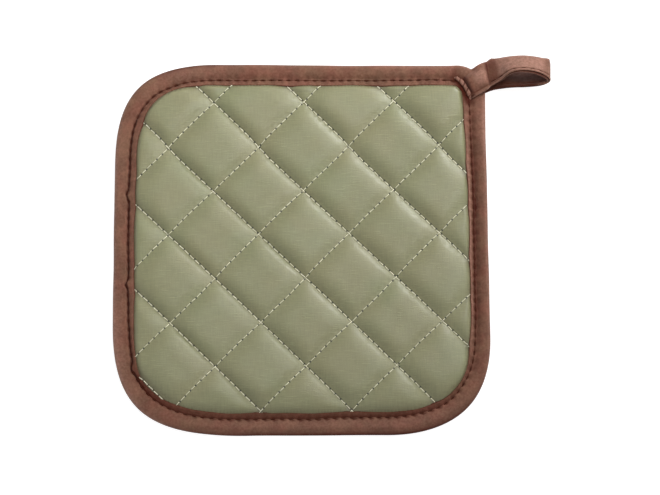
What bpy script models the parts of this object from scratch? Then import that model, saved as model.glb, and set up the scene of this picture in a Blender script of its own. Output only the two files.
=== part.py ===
"""Square quilted pot holder with a bound edge and a hanging loop of the same tape at one corner.

Metres, +Z up. The pot holder lies on its back on z = 0, with the origin under the middle of the square.
+Y is the edge that is uppermost when the quilted face is looked at, and the loop leaves the +X +Y corner.
"""

import math
from collections import namedtuple

import bmesh
import bpy
import numpy as np
from mathutils import Vector
from mathutils.geometry import delaunay_2d_cdt

MM = 0.001
GAP = 0.3 * MM  # clearance between two pieces that are sewn together
WELD = 0.001 * MM  # points nearer than this are one

# The square
SIDE = 203 * MM
MID_HEIGHT = 2.4 * MM  # middle of the bound edge

# How far each corner strays outward from a true square, how far its curve reaches back along the side
# before it and on along the side after it (clockwise), and how full it is: 0.55 is nearly a circle's arc
Corner = namedtuple("Corner", "side_x side_y stray_x stray_y reach_before reach_after fullness")
CORNERS = (
    Corner(-1, 1, -0.7 * MM, 1.7 * MM, 57 * MM, 55 * MM, 0.73),
    Corner(1, 1, -2.8 * MM, 1.3 * MM, 15 * MM, 15 * MM, 0.55),  # the loop's corner is nearly square
    Corner(1, -1, 0.6 * MM, -1.7 * MM, 53 * MM, 57 * MM, 0.66),
    Corner(-1, -1, -0.2 * MM, -0.6 * MM, 71 * MM, 62 * MM, 0.75),
)
LEAST_REACH = 4.5 * MM
FULLNESS_GAIN = 0.004 / MM  # an inset curve is a little fuller, which keeps the tape one width
CORNER_STEPS = 12
SIDE_STEPS = 10

# The binding, a tape folded over the edge: inset from the outline and height above its middle
TAPE_INSET = 12.1 * MM
STITCH_INSET = 9.1 * MM
TAPE_HALF = 2.4 * MM
LINING_HALF = 1.0 * MM
TAPE_SHARP = math.radians(50)
BINDING_SECTION = (
    (TAPE_INSET, 1.9 * MM),  # inner lip
    (10.7 * MM, TAPE_HALF),
    (STITCH_INSET, 1.9 * MM),  # groove that its stitches pull in
    (7.6 * MM, TAPE_HALF),
    (1.8 * MM, TAPE_HALF),
    (0.5 * MM, 1.6 * MM),
    (0.0, 0.0),  # outer fold
    (0.5 * MM, -1.6 * MM),
    (1.8 * MM, -TAPE_HALF),
    (TAPE_INSET, -TAPE_HALF),
    (TAPE_INSET, -LINING_HALF),
    (1.9 * MM, -LINING_HALF),
    (1.3 * MM, 0.0),
    (1.9 * MM, LINING_HALF),
    (TAPE_INSET, LINING_HALF),
)

# The pad: two cloths and their filling as one filled body
EDGE_HALF = LINING_HALF - GAP  # half the thickness inside the binding
EDGE_INSET = 1.65 * MM
EDGE_SHOULDER = 2.2 * MM
PANEL_INSET = TAPE_INSET + 0.2 * MM  # where the pad comes out of the binding
SEAM_HEIGHT = 4.6 * MM  # top of the pad on a quilting line
PUFF_HEIGHT = 4.4 * MM  # rise from the quilting lines to the middle of a diamond
PUFF_POWER = 2.4
BORDER_REACH = 17 * MM  # distance from the binding at which a diamond is at its full height
SEAM_REACH = 14 * MM
TOP_RING_INSETS = (14.8 * MM, 18.6 * MM)
TOP_STEP_SHARES = (0.15, 0.42, 0.72)  # grid lines beside a quilting line, as shares of half the pitch
PAD_SHARP = math.radians(40)  # edges sharper than this are not smoothed
BACK_CHANNEL_HALF = 3.5 * MM  # half the width of the sewn channels in the back
BACK_CHANNEL_DEPTH = 0.9 * MM
BACK_FLAT_INSET = PANEL_INSET + 4.5 * MM  # from here inward the back lies flat

# The two families of quilting lines: direction, distance of one line from the origin, and pitch
Quilting = namedtuple("Quilting", "angle first_offset pitch")
QUILTING = (
    Quilting(math.radians(45.2), 22.5 * MM, 34.4 * MM),
    Quilting(math.radians(-44.5), -9.4 * MM, 33.9 * MM),
)
QUILTING_LINES = 8  # enough of each family to cross the whole square
LINE_MARGIN = 1.4 * MM  # least distance of a quilting point from the ring round it

# The corner is lifted a little by the end of the loop, which is sewn on under it
LIFT = 2.0 * MM
LIFT_CENTRE = np.array((94 * MM, 94 * MM))
LIFT_FLAT = 13 * MM
LIFT_REACH = 62 * MM

# The loop: one flat tape. Each row is the middle of its width, with the heading and the rise of the
# direction across it, in degrees: 0, 0 is towards -Y and level
LOOP_WIDTH = 13.4 * MM
LOOP_THICKNESS = 1.6 * MM
LOOP_CHAMFER = 0.45 * MM
LOOP_STEPS = 2  # stations to each row
Station = namedtuple("Station", "x y z heading rise")
LOOP = (
    Station(89.4, 89.8, 7.9, 27, 0),  # end on top of the corner
    Station(94.5, 92.5, 7.9, 27, 0),
    Station(98.8, 94.8, 7.9, 27, 0),
    Station(101.2, 96.2, 6.9, 26, 3),  # just off the edge of the pad
    Station(104.0, 97.8, 7.4, 21, 8),
    Station(107.5, 99.3, 9.8, 12, 20),
    Station(111.5, 100.5, 12.9, 3, 32),
    Station(115.6, 101.1, 14.5, -2, 38),
    Station(120.5, 101.2, 15.0, -2, 39),
    Station(126.0, 100.7, 14.3, -2, 38),
    Station(130.0, 99.7, 12.9, -2, 35),
    Station(132.6, 98.6, 11.4, -2, 31),
    Station(133.6, 97.6, 10.1, -2, 30),  # far end of the loop
    Station(132.7, 96.7, 8.8, -2, 31),
    Station(130.0, 95.8, 7.4, -2, 34),
    Station(126.0, 95.2, 6.2, -2, 37),
    Station(120.5, 94.9, 5.4, -2, 38),
    Station(115.6, 95.0, 5.2, 0, 36),
    Station(110.5, 95.6, 4.4, 8, 26),
    Station(105.5, 96.0, 2.8, 18, 12),
    Station(101.0, 95.7, 1.5, 25, 3),
    Station(96.5, 94.2, 0.9, 27, 0),  # under the corner
    Station(90.0, 90.9, 0.87, 27, 0),  # end under the corner
)


def smooth(share):
    """0 to 1 with level ends, for arrays of shares."""
    share = np.clip(share, 0, 1)
    return share * share * (3 - 2 * share)


def corner_lift(points):
    """How far the cloth is raised at points in plan."""
    distance = np.linalg.norm(points - LIFT_CENTRE, axis=1)
    return LIFT * smooth((LIFT_REACH - distance) / (LIFT_REACH - LIFT_FLAT))


def corner_point(corner, inset):
    return np.array(
        (
            corner.side_x * (SIDE / 2 + corner.stray_x - inset),
            corner.side_y * (SIDE / 2 + corner.stray_y - inset),
        )
    )


def outline(inset):
    """The pot holder's outline in plan, drawn in by inset, clockwise from the first corner."""
    points = []
    for index, corner in enumerate(CORNERS):
        here = corner_point(corner, inset)
        before = corner_point(CORNERS[index - 1], inset) - here
        after = corner_point(CORNERS[(index + 1) % len(CORNERS)], inset) - here
        before /= np.linalg.norm(before)
        after /= np.linalg.norm(after)
        start = here + before * max(corner.reach_before - inset, LEAST_REACH)
        end = here + after * max(corner.reach_after - inset, LEAST_REACH)
        slack = 1 - corner.fullness - FULLNESS_GAIN * inset
        for step in range(CORNER_STEPS + 1):
            t = step / CORNER_STEPS
            points.append(
                (1 - t) ** 3 * start
                + 3 * (1 - t) ** 2 * t * (here + (start - here) * slack)
                + 3 * (1 - t) * t * t * (here + (end - here) * slack)
                + t**3 * end
            )
        following = CORNERS[(index + 1) % len(CORNERS)]
        side_end = corner_point(following, inset) - after * max(following.reach_before - inset, LEAST_REACH)
        for step in range(1, SIDE_STEPS):
            points.append(end + (side_end - end) * step / SIDE_STEPS)
    return np.array(points)


def distance_inside(points, ring):
    """Distance of each point in plan to the ring, below 0 outside it. The ring is clockwise."""
    nearest = np.full(len(points), np.inf)
    winding = np.zeros(len(points))
    for start, end in zip(ring, np.roll(ring, -1, axis=0)):
        along = end - start
        offset = points - start
        share = np.clip(offset @ along / (along @ along), 0, 1)
        nearest = np.minimum(nearest, np.linalg.norm(offset - share[:, None] * along, axis=1))
        to_start, to_end = start - points, end - points
        turn = to_start[:, 0] * to_end[:, 1] - to_start[:, 1] * to_end[:, 0]
        winding += np.arctan2(turn, (to_start * to_end).sum(axis=1))
    return np.where(np.abs(winding) > math.pi, nearest, -nearest)


def line_distance(points, family):
    """Distance in plan to the nearest quilting line of one family."""
    normal = np.array((-math.sin(family.angle), math.cos(family.angle)))
    place = (points @ normal - family.first_offset) / family.pitch
    return np.abs(place - np.round(place)) * family.pitch


def puff(distance, reach):
    return 1 - (1 - np.clip(distance / reach, 0, 1)) ** PUFF_POWER


def top_height(points, panel):
    inside = np.maximum(distance_inside(points, panel), 0)
    edge = MID_HEIGHT + EDGE_HALF
    seam = edge + (SEAM_HEIGHT - edge) * smooth(inside / SEAM_REACH)
    rise = PUFF_HEIGHT * puff(inside, BORDER_REACH)
    for family in QUILTING:
        rise = rise * puff(line_distance(points, family), family.pitch / 2)
    return seam + rise


def back_height(points, panel):
    inside = np.maximum(distance_inside(points, panel), 0)
    edge = MID_HEIGHT - EDGE_HALF
    border = edge * (1 - np.clip(inside / (BACK_FLAT_INSET - PANEL_INSET), 0, 1))
    nearest = np.minimum(*(line_distance(points, family) for family in QUILTING))
    channel = BACK_CHANNEL_DEPTH * (1 - np.clip(nearest / BACK_CHANNEL_HALF, 0, 1))
    return np.maximum(border, channel)


def quilting_grid(steps, ring):
    """Crossings inside the ring of the quilting lines and of lines beside them at the given distances.

    Gives the points in plan, and the edges between neighbours on the same line.
    """
    places = []
    for family in QUILTING:
        offsets = [
            family.first_offset + number * family.pitch + step
            for number in range(-QUILTING_LINES // 2, QUILTING_LINES // 2)
            for step in steps
        ]
        places.append(np.sort(offsets))
    normals = np.array([(-math.sin(family.angle), math.cos(family.angle)) for family in QUILTING])
    crossing = np.linalg.inv(normals)
    rows, columns = np.meshgrid(places[0], places[1], indexing="ij")
    points = np.stack((rows, columns), axis=-1) @ crossing.T
    keep = distance_inside(points.reshape(-1, 2), ring).reshape(rows.shape) > LINE_MARGIN
    number = np.cumsum(keep).reshape(keep.shape) - 1
    edges = []
    for down, right, both in ((1, 0, keep[1:] & keep[:-1]), (0, 1, keep[:, 1:] & keep[:, :-1])):
        for row, column in np.argwhere(both):
            edges.append((int(number[row, column]), int(number[row + down, column + right])))
    return points[keep], edges


def add_skin(mesh, rings, grid, height):
    """Fills the outermost ring with triangles through the inner rings and the grid, at the given heights."""
    points = np.concatenate(rings + [grid[0]])
    edges = []
    start = 0
    for ring in rings:
        count = len(ring)
        edges += [(start + i, start + (i + 1) % count) for i in range(count)]
        start += count
    edges += [(start + a, start + b) for a, b in grid[1]]
    face = list(range(len(rings[0])))
    inside_only = 1
    plan = delaunay_2d_cdt([Vector(p) for p in points], edges, [face], inside_only, WELD / 100)
    flat = np.array(plan[0])
    levels = height(flat, rings[0]) + corner_lift(flat)
    verts = [mesh.verts.new((x, y, z)) for (x, y), z in zip(flat, levels)]
    for triangle in plan[2]:
        mesh.faces.new([verts[i] for i in triangle])


def add_strip(mesh, rings, closed):
    """Bridges rings of equal length, and the last to the first where the section is closed."""
    rows = [[mesh.verts.new(point) for point in ring] for ring in rings]
    pairs = list(zip(rows, rows[1:]))
    if closed:
        pairs.append((rows[-1], rows[0]))
    for near, far in pairs:
        count = len(near)
        for i in range(count):
            mesh.faces.new((near[i], near[(i + 1) % count], far[(i + 1) % count], far[i]))


def ring_at(inset, height):
    """The outline drawn in by inset, at a height above z = 0 before the corner is lifted."""
    plan = outline(inset)
    return np.column_stack((plan, corner_lift(plan) + height))


def finish(name, mesh, material, sharp_angle, parent):
    """Closes the bmesh into a shaded object of its own."""
    bmesh.ops.remove_doubles(mesh, verts=mesh.verts, dist=WELD)
    bmesh.ops.triangulate(mesh, faces=mesh.faces)
    bmesh.ops.recalc_face_normals(mesh, faces=mesh.faces)
    data = bpy.data.meshes.new(name)
    mesh.to_mesh(data)
    mesh.free()
    data.shade_smooth()
    data.set_sharp_from_angle(angle=sharp_angle)
    data.materials.append(material)
    piece = bpy.data.objects.new(name, data)
    bpy.context.collection.objects.link(piece)
    piece.parent = parent
    return piece


def make_material(name, colour, roughness):
    material = bpy.data.materials.new(name)
    material.use_nodes = True
    shader = material.node_tree.nodes["Principled BSDF"]
    shader.inputs["Base Color"].default_value = (*colour, 1)
    shader.inputs["Roughness"].default_value = roughness
    shader.inputs["Metallic"].default_value = 0
    material.diffuse_color = (*colour, 1)
    return material


def make_pad(material, parent):
    """The filled body: puffed diamonds on top, flat diamonds on the back, thin where the binding holds it."""
    mesh = bmesh.new()
    panel = outline(PANEL_INSET)
    half_pitch = min(family.pitch for family in QUILTING) / 2
    beside = [share * half_pitch for share in TOP_STEP_SHARES]
    top_steps = [0, half_pitch, *beside, *(-step for step in beside)]
    top_rings = [panel] + [outline(inset) for inset in TOP_RING_INSETS]
    add_skin(mesh, top_rings, quilting_grid(top_steps, top_rings[-1]), top_height)
    back_steps = (0, BACK_CHANNEL_HALF, -BACK_CHANNEL_HALF)
    back_rings = [panel, outline(BACK_FLAT_INSET)]
    add_skin(mesh, back_rings, quilting_grid(back_steps, back_rings[-1]), back_height)
    edge_section = (
        (PANEL_INSET, EDGE_HALF),
        (EDGE_SHOULDER, EDGE_HALF),
        (EDGE_INSET, 0.0),
        (EDGE_SHOULDER, -EDGE_HALF),
        (PANEL_INSET, -EDGE_HALF),
    )
    add_strip(mesh, [ring_at(inset, MID_HEIGHT + rise) for inset, rise in edge_section], closed=False)
    return finish("quilted_pad", mesh, material, PAD_SHARP, parent)


def make_binding(material, parent):
    """The tape round the whole edge, open inward, with the groove of its stitches on the front."""
    mesh = bmesh.new()
    add_strip(mesh, [ring_at(inset, MID_HEIGHT + rise) for inset, rise in BINDING_SECTION], closed=True)
    return finish("binding", mesh, material, TAPE_SHARP, parent)


def through(values, share):
    """A smooth curve through the rows of values, read at share of a row past row 1 of the four given."""
    a, b, c, d = values
    return 0.5 * (
        2 * b
        + (c - a) * share
        + (2 * a - 5 * b + 4 * c - d) * share**2
        + (3 * b - a - 3 * c + d) * share**3
    )


def loop_stations():
    """Middle, direction across and direction through the tape, at each station of the loop."""
    rows = np.array(LOOP, float)
    rows = np.vstack((2 * rows[0] - rows[1], rows, 2 * rows[-1] - rows[-2]))
    smoothed = []
    for i in range(len(rows) - 3):
        smoothed += [through(rows[i : i + 4], step / LOOP_STEPS) for step in range(LOOP_STEPS)]
    smoothed = np.array(smoothed + [rows[-2]])
    middle = smoothed[:, :3] * MM
    heading, rise = np.radians(smoothed[:, 3]), np.radians(smoothed[:, 4])
    across = np.stack(
        (np.sin(heading) * np.cos(rise), -np.cos(heading) * np.cos(rise), np.sin(rise)), axis=1
    )
    along = np.gradient(middle, axis=0)
    normal = np.cross(across, along)
    normal /= np.linalg.norm(normal, axis=1)[:, None]
    return middle, across, normal


def make_loop(material, parent):
    """The hanging loop, from its end on the corner, out, round and back to its end under the corner."""
    half_width, half_thickness = LOOP_WIDTH / 2, LOOP_THICKNESS / 2
    section = []
    for side_a, side_b in ((1, 1), (1, -1), (-1, -1), (-1, 1)):
        flat = (side_a * (half_width - LOOP_CHAMFER), side_b * half_thickness)
        steep = (side_a * half_width, side_b * (half_thickness - LOOP_CHAMFER))
        section += [flat, steep] if side_a == side_b else [steep, flat]
    mesh = bmesh.new()
    rows = []
    for middle, across, normal in zip(*loop_stations()):
        rows.append([mesh.verts.new(middle + across * a + normal * b) for a, b in section])
    for near, far in zip(rows, rows[1:]):
        for i in range(len(section)):
            mesh.faces.new((near[i], near[i - 1], far[i - 1], far[i]))
    mesh.faces.new(rows[0])
    mesh.faces.new(rows[-1])
    return finish("hanging_loop", mesh, material, TAPE_SHARP, parent)


def build():
    for old in list(bpy.data.objects):
        bpy.data.objects.remove(old, do_unlink=True)
    holder = bpy.data.objects.new("pot_holder", None)
    bpy.context.collection.objects.link(holder)
    cloth = make_material("sage_quilted_cloth", (0.28, 0.29, 0.18), 0.75)
    tape = make_material("brown_tape", (0.20, 0.085, 0.06), 0.8)
    make_pad(cloth, holder)
    make_binding(tape, holder)
    make_loop(tape, holder)


build()
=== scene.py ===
import math

import bpy
import numpy as np
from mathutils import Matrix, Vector


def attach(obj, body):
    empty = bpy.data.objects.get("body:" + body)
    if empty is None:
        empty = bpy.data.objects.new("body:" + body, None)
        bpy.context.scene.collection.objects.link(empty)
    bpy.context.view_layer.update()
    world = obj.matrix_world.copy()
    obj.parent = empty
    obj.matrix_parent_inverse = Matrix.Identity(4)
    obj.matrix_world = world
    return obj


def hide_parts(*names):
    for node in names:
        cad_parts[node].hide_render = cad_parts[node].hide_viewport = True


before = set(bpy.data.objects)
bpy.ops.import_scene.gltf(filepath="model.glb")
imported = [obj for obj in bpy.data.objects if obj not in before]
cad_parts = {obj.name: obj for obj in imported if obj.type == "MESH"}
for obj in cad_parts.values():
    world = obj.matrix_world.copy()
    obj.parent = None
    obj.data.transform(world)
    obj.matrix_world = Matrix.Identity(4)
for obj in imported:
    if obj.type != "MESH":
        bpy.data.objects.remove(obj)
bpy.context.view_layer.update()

mm = 0.001  # everything below is in millimetres until a mesh is made

# The square and its four corners, clockwise from the upper left one: how far a corner's tip strays outward,
# how far its curve reaches along the side before it and the side after it, and how full the curve is
square = {
    "side": 203,
    "middle": 2.4,  # height of the middle of the bound edge
    "corners": [
        {"at": (-1, 1), "stray": (-0.7, 1.7), "reach": (57, 55), "fullness": 0.73},
        {"at": (1, 1), "stray": (-2.8, 1.3), "reach": (15, 15), "fullness": 0.55},
        {"at": (1, -1), "stray": (0.6, -1.7), "reach": (53, 57), "fullness": 0.66},
        {"at": (-1, -1), "stray": (-0.2, -0.6), "reach": (71, 62), "fullness": 0.75},
    ],
    "leastReach": 4.5,
    "fullnessGain": 0.004,  # a curve grows fuller by this for each mm inward
    "cornerSteps": 48,
    "sideSteps": 48,
    "lift": 2.0,  # the loop lies under its corner and lifts it by this
    "liftCentre": (94, 94),
    "liftFlat": 13,
    "liftReach": 62,
}

# The two directions of quilting
quilting = [
    {
        "angle": 45.4,
        "first": 22.46,  # distance of one line from the middle
        "pitch": 34.3,  # distance between lines
        "lines": range(-4, 4),
        "grazing": None,
        "stray": 0,
        "depth": 0.62,  # 1 goes down to the seam height all along a line
        "steeper": 0,
        "slitShadow": 0.1,  # how dark the painted shadow along the stitches is, and how far it lies to one side of them
        "slitShift": -0.1,
        "thread": 0.20,  # radius
    },
    {
        "angle": -44.2,
        "first": -9.35,
        "pitch": 34.2,
        "lines": range(-4, 4),
        "grazing": -3,  # the line at the lower left corner was sewn a little off its place
        "stray": 2.3,
        "depth": 1.0,
        "steeper": 1.4,  # how much more steeply the cloth rises on the upper side of a line, at the left
        "slitShadow": 0.35,
        "slitShift": 0.3,
        "thread": 0.27,
    },
]
stitchShift = 0.37  # each line of stitches starts this share of a stitch later than the one before


def smooth(share):
    share = np.clip(share, 0, 1)
    return share * share * (3 - 2 * share)


def ripple(x, y, size, seed):
    # soft unevenness of about -1 to 1, with lumps of about that size
    dice = np.random.default_rng(seed)
    waves = 10
    total = 0
    for wave in range(waves):
        turn, phase = dice.uniform(0, 2 * math.pi, 2)
        length = size * dice.uniform(1.4, 3.2)
        total = total + np.sin((x * math.cos(turn) + y * math.sin(turn)) * 2 * math.pi / length + phase)
    return total / math.sqrt(waves)


def between(pair, share):
    return pair[0] + (pair[1] - pair[0]) * share


def walkedAlong(points):
    # distance along a line to each of its points
    return np.concatenate(([0], np.cumsum(np.linalg.norm(np.diff(points, axis=0), axis=1))))


def cornerLift(x, y):
    away = np.hypot(x - square["liftCentre"][0], y - square["liftCentre"][1])
    slope = square["liftReach"] - square["liftFlat"]
    return square["lift"] * smooth((square["liftReach"] - away) / slope)


def outline(inset):
    # the outline in plan, drawn in by inset, clockwise from the upper left corner
    corners = square["corners"]
    half = square["side"] / 2
    tips = [np.array(corner["at"]) * (half + np.array(corner["stray"]) - inset) for corner in corners]
    points = []
    for i, corner in enumerate(corners):
        follows = (i + 1) % 4
        back = tips[i - 1] - tips[i]
        onward = tips[follows] - tips[i]
        back /= np.linalg.norm(back)
        onward /= np.linalg.norm(onward)
        start = tips[i] + back * max(corner["reach"][0] - inset, square["leastReach"])
        end = tips[i] + onward * max(corner["reach"][1] - inset, square["leastReach"])
        slack = 1 - corner["fullness"] - square["fullnessGain"] * inset
        for t in np.arange(square["cornerSteps"] + 1) / square["cornerSteps"]:
            points.append(
                (1 - t) ** 3 * start
                + 3 * (1 - t) ** 2 * t * (tips[i] + (start - tips[i]) * slack)
                + 3 * (1 - t) * t * t * (tips[i] + (end - tips[i]) * slack)
                + t**3 * end
            )
        reach = max(corners[follows]["reach"][0] - inset, square["leastReach"])
        sideEnd = tips[follows] - onward * reach
        for t in np.arange(1, square["sideSteps"]) / square["sideSteps"]:
            points.append(end + (sideEnd - end) * t)
    return np.array(points)


def edgeStations(count):
    # the outline at many insets, with stations evenly spaced along the stitched line
    insets = np.arange(-1, 19, 1.0)
    evenAt = 9
    rings = np.array([outline(inset) for inset in insets])
    rings = np.concatenate((rings, rings[:, :1]), axis=1)
    run = walkedAlong(rings[list(insets).index(evenAt)])
    even = np.arange(count) * run[-1] / count
    even = np.array([[np.interp(even, run, ring[:, k]) for k in (0, 1)] for ring in rings])
    return {"insets": insets, "rings": even.transpose(0, 2, 1), "length": run[-1], "count": count}


def edgePlace(edge, inset):
    # a point in plan for every station, at one inset or at an inset for each station
    place = np.broadcast_to(inset, edge["count"]) - edge["insets"][0]
    place = np.clip(place, 0, len(edge["insets"]) - 1.001)
    low = place.astype(int)
    share = (place - low)[:, None]
    stations = np.arange(edge["count"])
    return edge["rings"][low, stations] * (1 - share) + edge["rings"][low + 1, stations] * share


def insideDistance(x, y, ring):
    # distance in plan to a clockwise ring, below 0 outside it
    points = np.stack((x, y), axis=-1)
    nearest = np.full(x.shape, np.inf)
    winding = np.zeros(x.shape)
    for start, end in zip(ring, np.roll(ring, -1, axis=0)):
        side = end - start
        offset = points - start
        share = np.clip(offset @ side / (side @ side), 0, 1)
        away = offset - share[..., None] * side
        nearest = np.minimum(nearest, (away * away).sum(axis=-1))
        beyond = points - end
        turn = offset[..., 0] * beyond[..., 1] - offset[..., 1] * beyond[..., 0]
        winding += np.arctan2(turn, (offset * beyond).sum(axis=-1))
    return np.where(np.abs(winding) > math.pi, 1, -1) * np.sqrt(nearest)


# While it was quilted the cloth crept a little: height on the pad, and how far the lines of stitches lie
# there to the right and up
creep = [
    (-80, -0.2, 0.2),
    (-50, 0.1, 0.1),
    (-24, 0.7, -0.3),
    (-10, -0.1, 0.1),
    (20, -0.6, -0.1),
    (51, -0.2, -0.8),
    (63, 0.1, 0.4),
    (80, 0.3, 0.5),
]


def crept(y):
    heights, right, up = zip(*creep)
    return np.interp(y, heights, right), np.interp(y, heights, up)


def lineOffset(family, line):
    return family["first"] + line * family["pitch"] + (family["stray"] if line == family["grazing"] else 0)


def fromLine(x, y, family):
    # signed distance from the nearest line of stitches of one direction
    angle = math.radians(family["angle"])
    across = math.cos(angle) * y - math.sin(angle) * x
    away = np.array([across - lineOffset(family, line) for line in family["lines"]])
    return np.take_along_axis(away, np.argmin(np.abs(away), axis=0)[None], axis=0)[0]


def lineDistance(x, y, family):
    return np.abs(fromLine(x, y, family))


def makeMesh(name, points, faces, material, attributes=()):
    mesh = bpy.data.meshes.new(name)
    mesh.from_pydata((np.asarray(points) * mm).tolist(), [], [list(map(int, face)) for face in faces])
    for title, values in dict(attributes).items():
        layer = mesh.attributes.new(title, "FLOAT", "POINT")
        layer.data.foreach_set("value", np.asarray(values, np.float32))
    mesh.shade_smooth()
    mesh.materials.append(material)
    piece = bpy.data.objects.new(name, mesh)
    bpy.context.scene.collection.objects.link(piece)
    return piece


def gridFaces(rows, columns, closeRows, closeColumns):
    # quads over a sheet of points that is numbered row by row
    down = np.arange(rows if closeRows else rows - 1)[:, None] * columns
    right = np.arange(columns if closeColumns else columns - 1)[None, :]
    below = (down + columns) % (rows * columns)
    beside = (right + 1) % columns
    tips = np.broadcast_arrays(down + right, down + beside, below + beside, below + right)
    return np.stack(tips, axis=-1).reshape(-1, 4)


def curvePoint(before, here, after, later, t):
    # the place a share t of the way from here to after, on a smooth curve through all four
    bend = (2 * before - 5 * here + 4 * after - later) * t * t
    twist = (3 * here - before - 3 * after + later) * t**3
    return 0.5 * (2 * here + (after - before) * t + bend + twist)


def throughRows(rows, steps):
    # a smooth closed curve through the rows, with that many steps to each
    before, after, later = (np.roll(rows, shift, axis=0) for shift in (1, -1, -2))
    fine = [curvePoint(before, rows, after, later, t) for t in np.arange(steps) / steps]
    return np.stack(fine, axis=1).reshape(-1, *rows.shape[1:])


def throughPoints(rows, steps):
    # a smooth open curve through the rows, with that many steps to each
    rows = np.array(rows, float)
    rows = np.vstack((2 * rows[0] - rows[1], rows, 2 * rows[-1] - rows[-2]))
    fine = []
    for four in zip(rows, rows[1:], rows[2:], rows[3:]):
        fine += [curvePoint(*four, t) for t in np.arange(steps) / steps]
    return np.array(fine + [rows[-2]])


# ---- materials


def addNode(tree, kind, inputs, **settings):
    made = tree.nodes.new("ShaderNode" + kind)
    for name, value in settings.items():
        setattr(made, name, value)
    for place, value in inputs.items():
        if isinstance(value, bpy.types.NodeSocket):
            tree.links.new(value, made.inputs[place])
        else:
            made.inputs[place].default_value = value
    return made.outputs[0]


def calc(tree, operation, first, second=0.0, third=0.0):
    return addNode(tree, "Math", {0: first, 1: second, 2: third}, operation=operation)


def blendColour(tree, share, first, second, mode="MIX"):
    return addNode(tree, "MixRGB", {"Fac": share, "Color1": first, "Color2": second}, blend_type=mode)


def scaleColour(tree, colour, lightness):
    grey = addNode(tree, "CombineXYZ", {0: lightness, 1: lightness, 2: lightness})
    return blendColour(tree, 1.0, colour, grey, "MULTIPLY")


def dotProduct(tree, first, second):
    made = addNode(tree, "VectorMath", {0: first, 1: second}, operation="DOT_PRODUCT")
    return made.node.outputs["Value"]


def stretchedNoise(tree, place, stretch, detail=2.0, shift=(0, 0, 0)):
    moved = addNode(tree, "VectorMath", {0: place, 1: stretch, 2: shift}, operation="MULTIPLY_ADD")
    return addNode(tree, "TexNoise", {"Vector": moved, "Scale": 1.0, "Detail": detail, "Roughness": 0.55})


def span(tree, value, low, high, toLow=0.0, toHigh=1.0):
    inputs = {"Value": value, "From Min": low, "From Max": high, "To Min": toLow, "To Max": toHigh}
    return addNode(tree, "MapRange", inputs, interpolation_type="SMOOTHSTEP")


def attributeValue(tree, name):
    return addNode(tree, "Attribute", {}, attribute_name=name).node.outputs["Fac"]


def startMaterial(name, **shaderValues):
    # a material with its shader, and the place on the object in millimetres
    material = bpy.data.materials.new(name)
    material.use_nodes = True
    tree = material.node_tree
    shader = tree.nodes["Principled BSDF"]
    for title, value in shaderValues.items():
        shader.inputs[title.replace("_", " ")].default_value = value
    coordinates = tree.nodes.new("ShaderNodeTexCoord")
    scaled = {0: coordinates.outputs["Object"], "Scale": 1 / mm}
    return material, tree, shader, addNode(tree, "VectorMath", scaled, operation="SCALE")


def finishMaterial(tree, shader, colour, roughness, height, bumpDistance, bumpStrength):
    bump = {"Height": height, "Distance": bumpDistance * mm, "Strength": bumpStrength}
    tree.links.new(addNode(tree, "Bump", bump), shader.inputs["Normal"])
    tree.links.new(colour, shader.inputs["Base Color"])
    tree.links.new(roughness, shader.inputs["Roughness"])


def plainWeave(tree, place, threadPitch, angle=0.0):
    # height of a plain weave, -1 to 1
    turn = {"Vector": place, "Angle": math.radians(angle)}
    turned = addNode(tree, "VectorRotate", turn, rotation_type="Z_AXIS")
    wobble = calc(tree, "MULTIPLY", stretchedNoise(tree, turned, (0.25, 0.25, 0.25)), 5.0)
    split = tree.nodes.new("ShaderNodeSeparateXYZ")
    tree.links.new(turned, split.inputs[0])
    waves = []
    for axis in (0, 1):
        phase = calc(tree, "MULTIPLY_ADD", split.outputs[axis], 2 * math.pi / threadPitch, wobble)
        waves.append(calc(tree, "SINE", phase))
    return calc(tree, "MULTIPLY", waves[0], waves[1])


cloth = {
    "sage": (0.243, 0.241, 0.125, 1),
    "tan": (0.249, 0.239, 0.123, 1),
    "green": (0.231, 0.243, 0.123, 1),
    "holeShade": (0.022, 0.021, 0.010, 1),
    "edgeShade": (0.085, 0.065, 0.030, 1),
    "threadPitch": 0.46,
    "slubWidth": 0.5,
    "slubLength": 8.0,
    "stitchPitch": 3.9,
    "puckerReach": 5.0,  # how far from a line of stitches its puckers run
    "puckerDepth": 0.35,
    "puffReach": 13.0,  # how far from a line of stitches the filling is held down
}


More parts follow.
